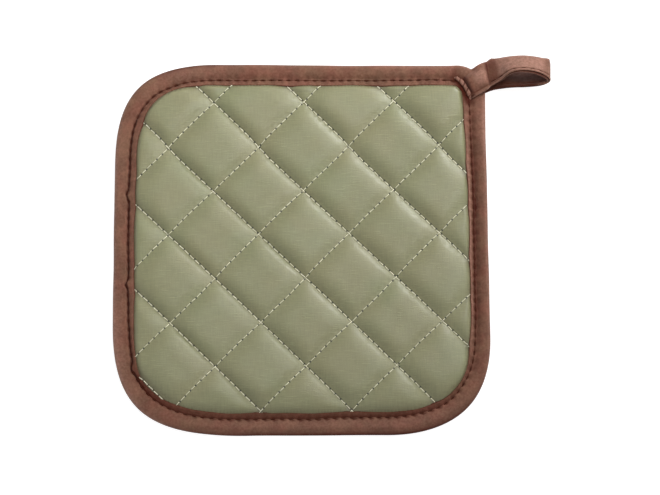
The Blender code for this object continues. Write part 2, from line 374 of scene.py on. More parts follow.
def seamMarks(tree, flat, family):
    # painted shade in the holes between the stitches of one direction of quilting and painted shadow in a
    # slit beside them, and the puckers that run from them
    angle = math.radians(family["angle"])
    along = dotProduct(tree, flat, (math.cos(angle), math.sin(angle), 0))
    across = dotProduct(tree, flat, (-math.sin(angle), math.cos(angle), 0))
    if family["stray"]:
        halfway = lineOffset(family, family["grazing"]) + family["pitch"] / 2
        beyond = calc(tree, "LESS_THAN", across, halfway)
        across = calc(tree, "SUBTRACT", across, calc(tree, "MULTIPLY", beyond, family["stray"]))
    lineNumber = calc(tree, "DIVIDE", calc(tree, "SUBTRACT", across, family["first"]), family["pitch"])
    away = calc(tree, "MULTIPLY", calc(tree, "PINGPONG", lineNumber, 0.5), family["pitch"])
    shift = calc(tree, "MULTIPLY", calc(tree, "ROUND", lineNumber), stitchShift)
    stitchNumber = calc(tree, "ADD", calc(tree, "DIVIDE", along, cloth["stitchPitch"]), shift)
    fromHole = calc(tree, "PINGPONG", stitchNumber, 0.5)
    besideHole = span(tree, fromHole, 0.0, 0.42, 1.0, 0.0)
    besideLine = span(tree, away, 0.2, cloth["puckerReach"], 1.0, 0.0)
    pucker = calc(tree, "MULTIPLY", besideHole, besideLine)
    # a slit of painted shadow runs along the stitches, a little to one side, and painted shade fills the
    # holes
    slitNumber = calc(tree, "SUBTRACT", lineNumber, family["slitShift"] / family["pitch"])
    fromSlit = calc(tree, "MULTIPLY", calc(tree, "PINGPONG", slitNumber, 0.5), family["pitch"])
    slitShadow = span(tree, fromSlit, 0.3, 0.6, family["slitShadow"], 0.0)
    atHole = span(tree, fromHole, 0.06, 0.14, 1.0, 0.0)
    atSlit = span(tree, fromSlit, 0.25, 0.7, 1.0, 0.0)
    return calc(tree, "MAXIMUM", calc(tree, "MULTIPLY", atHole, atSlit), slitShadow), pucker


def makeCloth():
    material, tree, shader, place = startMaterial(
        "sageLinenWeave",
        IOR=1.6,
        Specular_IOR_Level=1.0,
        Sheen_Weight=0.06,
        Sheen_Roughness=0.45,
        Sheen_Tint=(1, 0.97, 0.9, 1),
    )
    width, length = 1 / cloth["slubWidth"], 1 / cloth["slubLength"]
    weft = stretchedNoise(tree, place, (length, width, length))
    warp = stretchedNoise(tree, place, (width, length, length), shift=(7, 3, 1))
    slubs = calc(tree, "ADD", weft, warp)
    longSlubs = stretchedNoise(tree, place, (0.16, 2.4, 0.5), shift=(90, 0, 0))
    streaks = span(tree, longSlubs, 0.57, 0.7)
    weave = plainWeave(tree, place, cloth["threadPitch"])
    patches = stretchedNoise(tree, place, (0.045, 0.045, 0.045), detail=3)
    greens = stretchedNoise(tree, place, (0.03, 0.03, 0.03), detail=2, shift=(40, 0, 0))
    colour = blendColour(tree, span(tree, patches, 0.42, 0.62), cloth["sage"], cloth["tan"])
    colour = blendColour(tree, span(tree, greens, 0.5, 0.72, 0.0, 0.7), colour, cloth["green"])
    lightness = calc(tree, "MULTIPLY_ADD", streaks, 0.15, span(tree, slubs, 0.72, 1.28, 0.91, 1.07))
    colour = scaleColour(tree, colour, lightness)
    flat = addNode(tree, "CombineXYZ", {0: attributeValue(tree, "flatX"), 1: attributeValue(tree, "flatY")})
    marks = [seamMarks(tree, flat, family) for family in quilting]
    # painted shade in the holes and slits along the quilting, and painted shade beside the binding
    holeAndSlitShade = calc(tree, "MAXIMUM", marks[0][0], marks[1][0])
    puckers = calc(tree, "ADD", marks[0][1], marks[1][1])
    colour = blendColour(tree, holeAndSlitShade, colour, cloth["holeShade"])
    colour = blendColour(tree, attributeValue(tree, "shade"), colour, cloth["edgeShade"])
    roughness = span(tree, slubs, 0.7, 1.3, 0.43, 0.39)
    height = calc(tree, "MULTIPLY_ADD", slubs, 0.2, calc(tree, "MULTIPLY", streaks, 0.3))
    height = calc(tree, "MULTIPLY_ADD", weave, 0.02, height)
    height = calc(tree, "SUBTRACT", height, calc(tree, "MULTIPLY", puckers, cloth["puckerDepth"]))
    finishMaterial(tree, shader, colour, roughness, height, 0.3, 0.6)
    return material


tape = {
    "brown": (0.172, 0.079, 0.049, 1),
    "red": (0.182, 0.073, 0.047, 1),
    "tan": (0.175, 0.095, 0.055, 1),
    # a lighter colour, for wear and for painted highlight
    "wornAndLit": (0.36, 0.19, 0.14, 1),
    # the colour of painted shade
    "deep": (0.058, 0.008, 0.002, 1),
    "threadPitch": 0.42,
    "biasAngle": 45,
}


def makeTape():
    material, tree, shader, place = startMaterial(
        "brownBiasTape",
        Specular_IOR_Level=0.3,
        Sheen_Weight=0.12,
        Sheen_Roughness=0.5,
        Sheen_Tint=(1, 0.86, 0.78, 1),
    )
    mottle = stretchedNoise(tree, place, (0.13, 0.13, 0.13), detail=5)
    patches = stretchedNoise(tree, place, (0.06, 0.06, 0.06), detail=2, shift=(3, 60, 0))
    blotches = stretchedNoise(tree, place, (0.14, 0.14, 0.14), detail=4, shift=(0, 0, 50))
    fuzz = stretchedNoise(tree, place, (0.8, 0.8, 0.8), detail=4, shift=(0, 9, 2))
    dents = stretchedNoise(tree, place, (0.2, 0.2, 0.2), detail=2, shift=(20, 0, 0))
    weave = plainWeave(tree, place, tape["threadPitch"], tape["biasAngle"])
    colour = blendColour(tree, span(tree, mottle, 0.4, 0.62), tape["brown"], tape["red"])
    colour = blendColour(tree, span(tree, patches, 0.5, 0.7, 0.0, 0.4), colour, tape["tan"])
    fine, coarse = span(tree, fuzz, 0.3, 0.7, 0.89, 1.11), span(tree, blotches, 0.32, 0.68, 0.85, 1.15)
    colour = scaleColour(tree, colour, calc(tree, "MULTIPLY", fine, coarse))
    # wear and painted highlight lighten the tape, and painted shade darkens it towards the deep colour
    wornAndLit = calc(tree, "MULTIPLY", attributeValue(tree, "wearAndHighlight"), span(tree, fuzz, 0.3, 0.7, 0.4, 0.8))
    colour = blendColour(tree, wornAndLit, colour, tape["wornAndLit"])
    colour = blendColour(tree, attributeValue(tree, "depth"), colour, tape["deep"])
    roughness = span(tree, fuzz, 0.3, 0.7, 0.85, 0.68)
    height = calc(tree, "MULTIPLY_ADD", weave, 0.12, calc(tree, "MULTIPLY", fuzz, 0.5))
    height = calc(tree, "MULTIPLY_ADD", dents, 3.5, height)
    finishMaterial(tree, shader, colour, roughness, height, 0.25, 0.6)
    return material


quiltThread = {
    "colour": (0.92, 0.89, 0.68, 1),
    "shadow": (0.56, 0.54, 0.38, 1),
    "plyLength": 0.9,
    "gloss": 0.45,
    "fuzz": 0.2,
    "shown": 0.90,  # share of a stitch's pitch that shows
    "rise": 0.34,
    "dive": 0.5,
    "wander": 0.08,
    "rings": 9,
    "sides": 7,
}
tapeThread = {
    "colour": (0.085, 0.024, 0.012, 1),
    "shadow": (0.03, 0.007, 0.003, 1),
    "plyLength": 0.8,
    "gloss": 0.12,
    "fuzz": 0.03,
    "radius": 0.26,
    "shown": 0.62,
    "rise": 0.22,
    "dive": 0.4,
    "rings": 7,
    "sides": 6,
}


def makeThread(name, thread):
    # two plies: the attributes say how far along and how far round the thread a point is
    material, tree, shader, place = startMaterial(
        name,
        Specular_IOR_Level=thread["gloss"],
        Sheen_Weight=thread["fuzz"],
        Sheen_Roughness=0.4,
    )
    along, around = attributeValue(tree, "along"), attributeValue(tree, "round")
    turns = calc(tree, "MULTIPLY_ADD", along, 1 / thread["plyLength"], around)
    ply = calc(tree, "PINGPONG", turns, 0.5)
    lint = stretchedNoise(tree, place, (2.5, 2.5, 2.5))
    tone = blendColour(tree, span(tree, ply, 0.0, 0.22, 0.7, 0.0), thread["colour"], thread["shadow"])
    tone = blendColour(tree, span(tree, lint, 0.4, 0.7, 0.0, 0.3), tone, thread["shadow"])
    finishMaterial(tree, shader, tone, span(tree, lint, 0.3, 0.7, 0.5, 0.65), ply, 0.25, 0.6)
    return material


clothMaterial = makeCloth()
tapeMaterial = makeTape()
quiltThreadMaterial = makeThread("paleQuiltingThread", quiltThread)
tapeThreadMaterial = makeThread("brownSewingThread", tapeThread)
print("materials made")

# ---- the edge: what the binding does all the way round, which the pad's edge follows

binding = {
    "stations": 1150,
    "lipHeight": 2.4,
    "rollHeight": 2.75,
    "shutGroove": 1.75,  # height of the groove where roll and lip close over it
    "stitchGroove": 0.95,  # under a stitch
    "openGroove": 0.5,  # along the left side and part of the right, where the groove gapes
    "backHeight": -2.4,
    "backGroove": 9.1,
    "stitches": 146,
    "cutWidth": 36,
    "pull": 0.32,  # by which a slanted stitch draws the roll away from the lip
    # Along the stitched line, clockwise from where the upper left corner starts: distance, how far the outer
    # edge is drawn in, insets of groove and lip, how open the groove, how round the roll, how sunk the lip,
    # whether the roll leans outward or, below 0, falls off outward; an open groove, a sunk lip and a leaning
    # or falling roll get painted shade, and a leaning or falling roll painted highlight as well
    "readings": [
        (0, 0.1, 8.1, 12.1, 1.0, 0.3, 0.1, 0.0),
        (20, 0.0, 8.3, 12.2, 1.0, 0.4, 0.0, 0.0),
        (32, -0.1, 8.9, 12.5, 0.5, 0.6, 0.2, -0.1),
        (54, -0.4, 9.5, 12.0, 0.4, 0.8, 0.3, -0.8),
        (60, -0.4, 8.5, 11.4, 0.0, 1.0, 0.0, -1.1),
        (75, -0.4, 8.6, 11.8, 0.0, 1.0, 0.15, -0.7),
        (95, -0.35, 8.6, 11.8, 0.0, 1.0, 0.15, 0.0),
        (178, 0.1, 8.5, 11.9, 0.0, 1.0, 0.15, 0.0),
        (200, 0.45, 8.5, 11.9, 0.0, 1.0, 0.15, 0.0),
        (208, 0.4, 9.0, 12.3, 0.3, 1.0, 0.3, 0.0),
        (214, -0.2, 9.5, 13.3, 0.6, 1.0, 1.0, 0.0),
        (220, -0.2, 9.0, 12.6, 0.4, 1.0, 0.9, 0.0),
        (226, -0.1, 8.3, 11.9, 0.1, 1.0, 0.0, 0.1),
        (250, -0.1, 7.9, 11.1, 0.1, 1.1, 0.0, 0.8),
        (272, -0.1, 7.4, 10.5, 0.2, 1.2, 0.0, 1.0),
        (285, -0.1, 7.6, 10.4, 0.2, 1.2, 0.0, 1.0),
        (340, 0.0, 7.8, 10.5, 0.2, 1.2, 0.0, 0.8),
        (362, 0.0, 8.6, 11.6, 0.2, 1.1, 0.1, 0.1),
        (380, 0.0, 9.5, 12.1, 0.0, 1.0, 0.5, -0.6),
        (405, 0.0, 9.8, 12.6, 0.0, 1.0, 0.9, -1.1),
        (430, 0.1, 9.6, 12.6, 0.0, 1.0, 1.0, -1.2),
        (465, 0.1, 8.9, 12.2, 0.0, 1.0, 1.0, -1.1),
        (500, 0.1, 8.7, 12.0, 0.0, 1.0, 1.0, -1.0),
        (530, 0.1, 8.9, 12.7, 0.0, 1.0, 1.0, -0.5),
        (550, 0.1, 9.5, 12.4, 0.1, 0.8, 1.1, 0.0),
        (557, 0.1, 9.4, 12.4, 0.3, 0.7, 1.2, 0.0),
        (564, 0.1, 9.1, 11.9, 0.6, 0.6, 1.2, 0.0),
        (570, 0.0, 8.3, 11.3, 1.0, 0.5, 0.9, 0.0),
        (582, 0.0, 9.0, 11.6, 1.0, 0.4, 0.3, 0.0),
        (598, 0.0, 8.7, 11.8, 1.0, 0.3, 0.1, 0.0),
        (612, 0.0, 8.1, 11.7, 1.0, 0.3, 0.1, 0.0),
        (640, 0.0, 7.9, 11.4, 1.0, 0.3, 0.1, 0.0),
        (664, 0.1, 7.8, 11.3, 1.0, 0.3, 0.1, 0.0),
    ],
    # bumps along the edge: distance, height, reach; the dents are painted with shade as well, and the
    # paler patches are wear and painted highlight
    "dents": [(207, 0.9, 3.0), (97, 0.35, 4.0), (239, 0.3, 3.5), (318, 0.4, 5.0), (443, 0.3, 4.0)],
    "wornAndLit": [(235, 0.9, 26), (186, 0.4, 26), (582, 1.2, 50), (645, 0.28, 75), (5, 0.4, 36)],
    "kinks": [(574, 1.3, 4.5), (620, 1.2, 3.5), (669, 1.2, 4.5)],  # of the groove, outward
}

edge = edgeStations(binding["stations"])
run = np.arange(edge["count"]) * edge["length"] / edge["count"]


def readEdge(column):
    # one column of the readings for every station, rounded off where it changes
    table = np.array(binding["readings"])
    nudged = []
    for nudge in np.linspace(-4, 4, 9):
        nudged.append(np.interp(run + nudge, table[:, 0], table[:, column], period=edge["length"]))
    return np.mean(nudged, axis=0)


def alongEdge(size, seed):
    # unevenness along the binding, the same at its start and end
    turn = run * 2 * math.pi / edge["length"]
    radius = edge["length"] / (2 * math.pi)
    return ripple(radius * np.cos(turn), radius * np.sin(turn), size, seed)


def bumpsAlong(table):
    # smooth bumps of the given places, heights and reaches along the edge
    total = np.zeros(edge["count"])
    for place, height, reach in table:
        away = np.abs((run - place + edge["length"] / 2) % edge["length"] - edge["length"] / 2)
        total += height * smooth(1 - away / reach)
    return total


grooveInset = readEdge(2) + 0.12 * alongEdge(10, 21) - bumpsAlong(binding["kinks"])


def puff(distance, reach, power=3.0):
    return 1 - (1 - np.clip(distance / reach, 0, 1)) ** power


def puffShare(x, y):
    # how full the quilting stands at a place, 0 on the deepest seams
    share = 1.0
    for family in quilting:
        away = fromLine(x, y, family)
        steeper = family["steeper"] * (away > 0) * smooth((50 - x) / 110)
        puffed = puff(np.abs(away), cloth["puffReach"], 3 + steeper)
        share = share * (1 - family["depth"] + family["depth"] * puffed)
    return share


def makeLipInset():
    # between the seams the pad pushes the lip outward
    inset = readEdge(3) + 0.12 * alongEdge(12, 22)
    plan = edgePlace(edge, inset + 3)
    return inset + 0.5 * (0.6 - puffShare(plan[:, 0], plan[:, 1]))


lipInset = makeLipInset()
lipRing = edgePlace(edge, lipInset)[::3]


# ---- the pad

pad = {
    "rimInset": 4.0,  # where its edge ends inside the binding
    "rimHalf": 0.35,
    "edgeHeight": 3.9,  # top of the cloth where it leaves the binding
    "seamHeight": 4.6,
    "seamReach": 14,
    "puffHeight": 3.75,
    # the share of its height that a diamond gains at once beside the binding and over what distance, each
    # first all round and then at the bottom
    "edgeShare": (0.78, 0.65),
    "edgeReach": (2.4, 5.0),
    "bottomFrom": -66,  # the bottom, where the edge lies lower
    "bottomReach": 16,
    "bottomDrop": 0.8,
    "puffUneven": 0.07,
    "ridge": 0.36,  # a line of stitches runs along a low ridge in its channel, except near a crossing
    "ridgeHalf": 1.9,
    "ridgeFull": 10,
    "backChannelHalf": 4.0,
    "backChannelDepth": 0.9,
    "backEdgeReach": 4.5,
    "stepsPerLine": 36,
    "crowding": 0.42,  # how much closer the points stand near a line of stitches
}


def quiltDirections():
    # the direction across the lines of stitches, for each of the two
    normals = []
    for family in quilting:
        angle = math.radians(family["angle"])
        normals.append((-math.sin(angle), math.cos(angle)))
    return np.array(normals)


def beforeCreep(x, y):
    right, up = crept(y)
    return x - right, y - up


def padTop(x, y, inside):
    x, y = beforeCreep(x, y)
    low = smooth((pad["bottomFrom"] - y) / pad["bottomReach"])
    edgeTop = pad["edgeHeight"] - pad["bottomDrop"] * low
    thin = square["middle"] + pad["rimHalf"]
    seam = thin + (edgeTop - thin) * smooth((inside + 2.2) / 2.2)
    seam = seam + (pad["seamHeight"] - edgeTop) * smooth(inside / pad["seamReach"])
    share, reach = between(pad["edgeShare"], low), between(pad["edgeReach"], low)
    beside = 1 - (1 - np.clip((inside + 0.5) / reach, 0, 1)) ** 2
    border = share * beside + (1 - share) * puff(inside, cloth["puffReach"])
    rise = pad["puffHeight"] * border * puffShare(x, y) * (1 + pad["puffUneven"] * ripple(x, y, 26, 3))
    distances = [lineDistance(x, y, family) for family in quilting]
    near = [1 - smooth(distance / pad["ridgeHalf"]) for distance in distances]
    full = [smooth(distance / pad["ridgeFull"]) for distance in distances]
    ridge = pad["ridge"] * np.maximum(near[0] * full[1], near[1] * full[0]) * smooth((inside + 0.8) / 1.6)
    return seam + rise + ridge


def padBack(x, y, inside):
    x, y = beforeCreep(x, y)
    thin = square["middle"] - pad["rimHalf"]
    border = thin * (1 - smooth(inside / pad["backEdgeReach"]))
    nearest = np.minimum(*(lineDistance(x, y, family) for family in quilting))
    channel = pad["backChannelDepth"] * (1 - smooth(nearest / pad["backChannelHalf"]))
    return np.maximum(border, channel)


def crowdedSteps(family):
    # distances from the middle of the grid's lines, closer together near each line of stitches
    share = np.arange(pad["stepsPerLine"]) / pad["stepsPerLine"]
    share = share - pad["crowding"] * np.sin(2 * math.pi * share) / (2 * math.pi)
    return np.concatenate([family["first"] + family["pitch"] * (line + share) for line in family["lines"]])


def nearestOnRing(x, y, ring):
    point = np.array((x, y))
    sides = np.roll(ring, -1, axis=0) - ring
    share = np.clip(((point - ring) * sides).sum(axis=1) / (sides * sides).sum(axis=1), 0, 1)
    found = ring + sides * share[:, None]
    return found[np.argmin(np.linalg.norm(found - point, axis=1))]


def padGrid():
    # places in plan, closer together near the lines of stitches, and the quads between them
    rows, columns = np.meshgrid(*(crowdedSteps(family) for family in quilting), indexing="ij")
    places = np.stack((rows, columns), axis=-1) @ np.linalg.inv(quiltDirections()).T
    right, up = crept(places[..., 1])
    x, y = places[..., 0] + right, places[..., 1] + up
    rim = outline(pad["rimInset"])
    kept = insideDistance(x, y, rim[::2]) > 0
    cells = kept[1:, 1:] & kept[:-1, 1:] & kept[1:, :-1] & kept[:-1, :-1]
    meeting = np.zeros(kept.shape, int)  # how many cells meet at each place
    for down in (slice(0, -1), slice(1, None)):
        for beside in (slice(0, -1), slice(1, None)):
            meeting[down, beside] += cells
    used = meeting > 0
    number = np.cumsum(used).reshape(used.shape) - 1
    tips = (number[:-1, :-1], number[1:, :-1], number[1:, 1:], number[:-1, 1:])
    quads = np.stack([tip[cells] for tip in tips], axis=1)
    x, y = x[used], y[used]
    for i in np.flatnonzero(meeting[used] < 4):  # the stepped border is drawn out to the smooth rim
        x[i], y[i] = nearestOnRing(x[i], y[i], rim)
    return x, y, quads


def borderSides(quads):
    # the sides that only one quad has
    sides = np.concatenate([quads[:, [i, (i + 1) % 4]] for i in range(4)]).tolist()
    reverse = {(end, start) for start, end in sides}
    return np.array([side for side in sides if tuple(side) not in reverse])


def makePad():
    x, y, quads = padGrid()
    count = len(x)
    inside = insideDistance(x, y, lipRing)
    lift = cornerLift(x, y)
    top = np.column_stack((x, y, padTop(x, y, inside) + lift))
    back = np.column_stack((x, y, padBack(x, y, inside) + lift))
    border = borderSides(quads)
    walls = np.column_stack((border[:, 1], border[:, 0], border[:, 0] + count, border[:, 1] + count))
    faces = np.concatenate((quads, quads[:, ::-1] + count, walls))
    flatX, flatY = beforeCreep(x, y)
    # the cloth darkens beside the binding, most along the top, and where channels run into it
    shade = (0.5 + 0.4 * smooth((y - 70) / 12)) * smooth(1.3 - inside / 0.5)
    shade = shade + 0.8 * (1 - puffShare(flatX, flatY)) ** 2 * smooth(1.1 - inside / 4)
    shade = np.concatenate((np.clip(shade, 0, 0.75), np.zeros(count)))
    values = {"shade": shade, "flatX": np.tile(flatX, 2), "flatY": np.tile(flatY, 2)}
    return makeMesh("quiltedPad", np.concatenate((top, back)), faces, clothMaterial, values)


quiltedPad = makePad()
print("pad made:", len(quiltedPad.data.polygons), "faces")

# ---- stitches


def makeStitches(name, starts, ends, ups, radii, thread, material):
    # each stitch comes up at its start, lies along the cloth and goes down at its end
    starts, ends, ups = (np.asarray(values, float) for values in (starts, ends, ups))
    along = ends - starts
    length = np.linalg.norm(along, axis=1)
    side = np.cross(along, ups)
    side /= np.linalg.norm(side, axis=1)[:, None]
    share = np.linspace(0, 1, thread["rings"])
    bow = 1 - np.abs(2 * share - 1) ** 7
    thick = np.broadcast_to(radii, len(starts))[:, None] * (0.62 + 0.38 * bow)
    height = thread["rise"] * bow - thread["dive"] * (1 - bow)
    turn = np.arange(thread["sides"]) * 2 * math.pi / thread["sides"]
    middle = starts[:, None] + along[:, None] * share[None, :, None] + ups[:, None] * height[None, :, None]
    spokes = side[:, None] * np.cos(turn)[None, :, None] + ups[:, None] * np.sin(turn)[None, :, None]
    points = middle[:, :, None] + spokes[:, None] * thick[:, :, None, None]
    one = gridFaces(thread["rings"], thread["sides"], False, True)
    size = thread["rings"] * thread["sides"]
    faces = (one[None] + np.arange(len(starts))[:, None, None] * size).reshape(-1, 4).tolist()
    for first in range(0, len(starts) * size, size):
        faces.append(list(range(first + thread["sides"] - 1, first - 1, -1)))
        faces.append(list(range(first + size - thread["sides"], first + size)))
    alongValue = np.broadcast_to(share[None, :, None] * length[:, None, None], points.shape[:3])
    roundValue = np.broadcast_to(turn[None, None, :] / (2 * math.pi), points.shape[:3])
    attributes = {"along": alongValue.ravel(), "round": roundValue.ravel()}
    return makeMesh(name, points.reshape(-1, 3), faces, material, attributes)


def pointing(onTop, count):
    # the direction out of the face for each of so many stitches
    return np.tile((0.0, 0.0, 1.0 if onTop else -1.0), (count, 1))


def quiltStitchEnds(family):
    # start and end in plan, and radius, of every stitch of one direction that lies inside the binding
    angle = math.radians(family["angle"])
    ahead = np.array((math.cos(angle), math.sin(angle)))
    across = np.array((-math.sin(angle), math.cos(angle)))
    starts = []
    for line in family["lines"]:
        steps = np.arange(-40, 40) - line * stitchShift
        starts.append(across * lineOffset(family, line) + ahead * steps[:, None] * cloth["stitchPitch"])
    starts = np.concatenate(starts)
    gap = (1 - quiltThread["shown"]) / 2
    ends = starts + ahead * cloth["stitchPitch"] * (1 - gap)
    starts = starts + ahead * cloth["stitchPitch"] * gap
    starts, ends = (plan + np.column_stack(crept(plan[:, 1])) for plan in (starts, ends))
    middle = (starts + ends) / 2
    kept = insideDistance(middle[:, 0], middle[:, 1], lipRing) > -0.9
    return starts[kept], ends[kept], np.full(kept.sum(), family["thread"])


def makeQuiltStitches(name, onTop):
    stitched = zip(*map(quiltStitchEnds, quilting))
    starts, ends, radii = (np.concatenate(parts) for parts in stitched)
    dice = np.random.default_rng(11 if onTop else 12)
    starts = starts + dice.normal(0, quiltThread["wander"], starts.shape)
    ends = ends + dice.normal(0, quiltThread["wander"], ends.shape)
    raised = []
    for plan in (starts, ends):
        inside = insideDistance(plan[:, 0], plan[:, 1], lipRing)
        surface = (padTop if onTop else padBack)(plan[:, 0], plan[:, 1], inside)
        raised.append(np.column_stack((plan, surface + cornerLift(plan[:, 0], plan[:, 1]))))
    up = pointing(onTop, len(starts))
    return makeStitches(name, *raised, up, radii, quiltThread, quiltThreadMaterial)


quiltStitches = makeQuiltStitches("quiltStitches", True)
backStitches = makeQuiltStitches("quiltStitchesBack", False)
print("quilting stitched")

# ---- the binding

corner = {
    "heading": 27,
    "pressedAt": (89.4, 90.0),  # middle of the loop's end
    "pressed": 1.5,
    "stitchless": 84,  # past this to the right and up, the binding's stitches are under the loop's end
    # the folded edge of the tape that turns the corner beside the loop's end
    "route": [
        (82.4, 96.2, 5.0),
        (84.2, 95.1, 6.0),
        (86.8, 92.7, 6.2),
        (88.9, 89.8, 6.1),
        (90.6, 86.2, 5.9),
        (91.4, 83.4, 4.8),
    ],
    "hollowShift": (-0.2, -0.3),
    "hollowReach": 3.4,
    "halfWidth": 1.25,
    "halfThick": 0.9,
    "steps": 8,
    "sides": 14,
    "notches": 5.5,
}


def underTab(x, y):
    # how far the binding is pressed down beneath the loop's end
    heading = math.radians(corner["heading"])
    fromX, fromY = x - corner["pressedAt"][0], y - corner["pressedAt"][1]
    ahead = fromX * math.cos(heading) + fromY * math.sin(heading)
    aside = fromX * math.sin(heading) - fromY * math.cos(heading)
    across = smooth((9.5 - aside) / 3.5) * smooth((5.5 + aside) / 3)
    return corner["pressed"] * smooth((ahead + 2.6) / 2.4) * smooth((14 - ahead) / 4) * across


def toSegment(x, y, start, end):
    along = end - start
    share = np.clip(((x - start[0]) * along[0] + (y - start[1]) * along[1]) / (along @ along), 0, 1)
    return np.hypot(x - start[0] - share * along[0], y - start[1] - share * along[1])


def shadeBesideFold(x, y):
    # how much painted shade the tape gets in the hollow along the folded edge at the corner
    route = np.array(corner["route"])[:, :2] + corner["hollowShift"]
    away = np.min([toSegment(x, y, *pair) for pair in zip(route, route[1:])], axis=0)
    return smooth(1.3 - away / corner["hollowReach"])


def makeTapeMesh(name, sheet, wearAndHighlight, depth, closed):
    # a tape from its rows of points, with how much wear and painted highlight and how much painted shade
    # each point has
    points = throughRows(np.array(sheet), 2)
    wearAndHighlight, depth = (np.clip(throughRows(np.array(values), 2), 0, 1).ravel() for values in (wearAndHighlight, depth))
    rows, columns = points.shape[:2]
    faces = gridFaces(rows, columns, True, closed).tolist()
    if not closed:
        faces.append([row * columns for row in range(rows)])
        faces.append([row * columns + columns - 1 for row in reversed(range(rows))])
    return makeMesh(name, points.reshape(-1, 3), faces, tapeMaterial, {"wearAndHighlight": wearAndHighlight, "depth": depth})


def atStitches(behind):
    # 1 in the middle of a stitch of the binding, 0 between two, for a line that lags behind the stitches
    return 0.5 + 0.5 * np.cos(2 * math.pi * (run + behind) * binding["stitches"] / edge["length"])


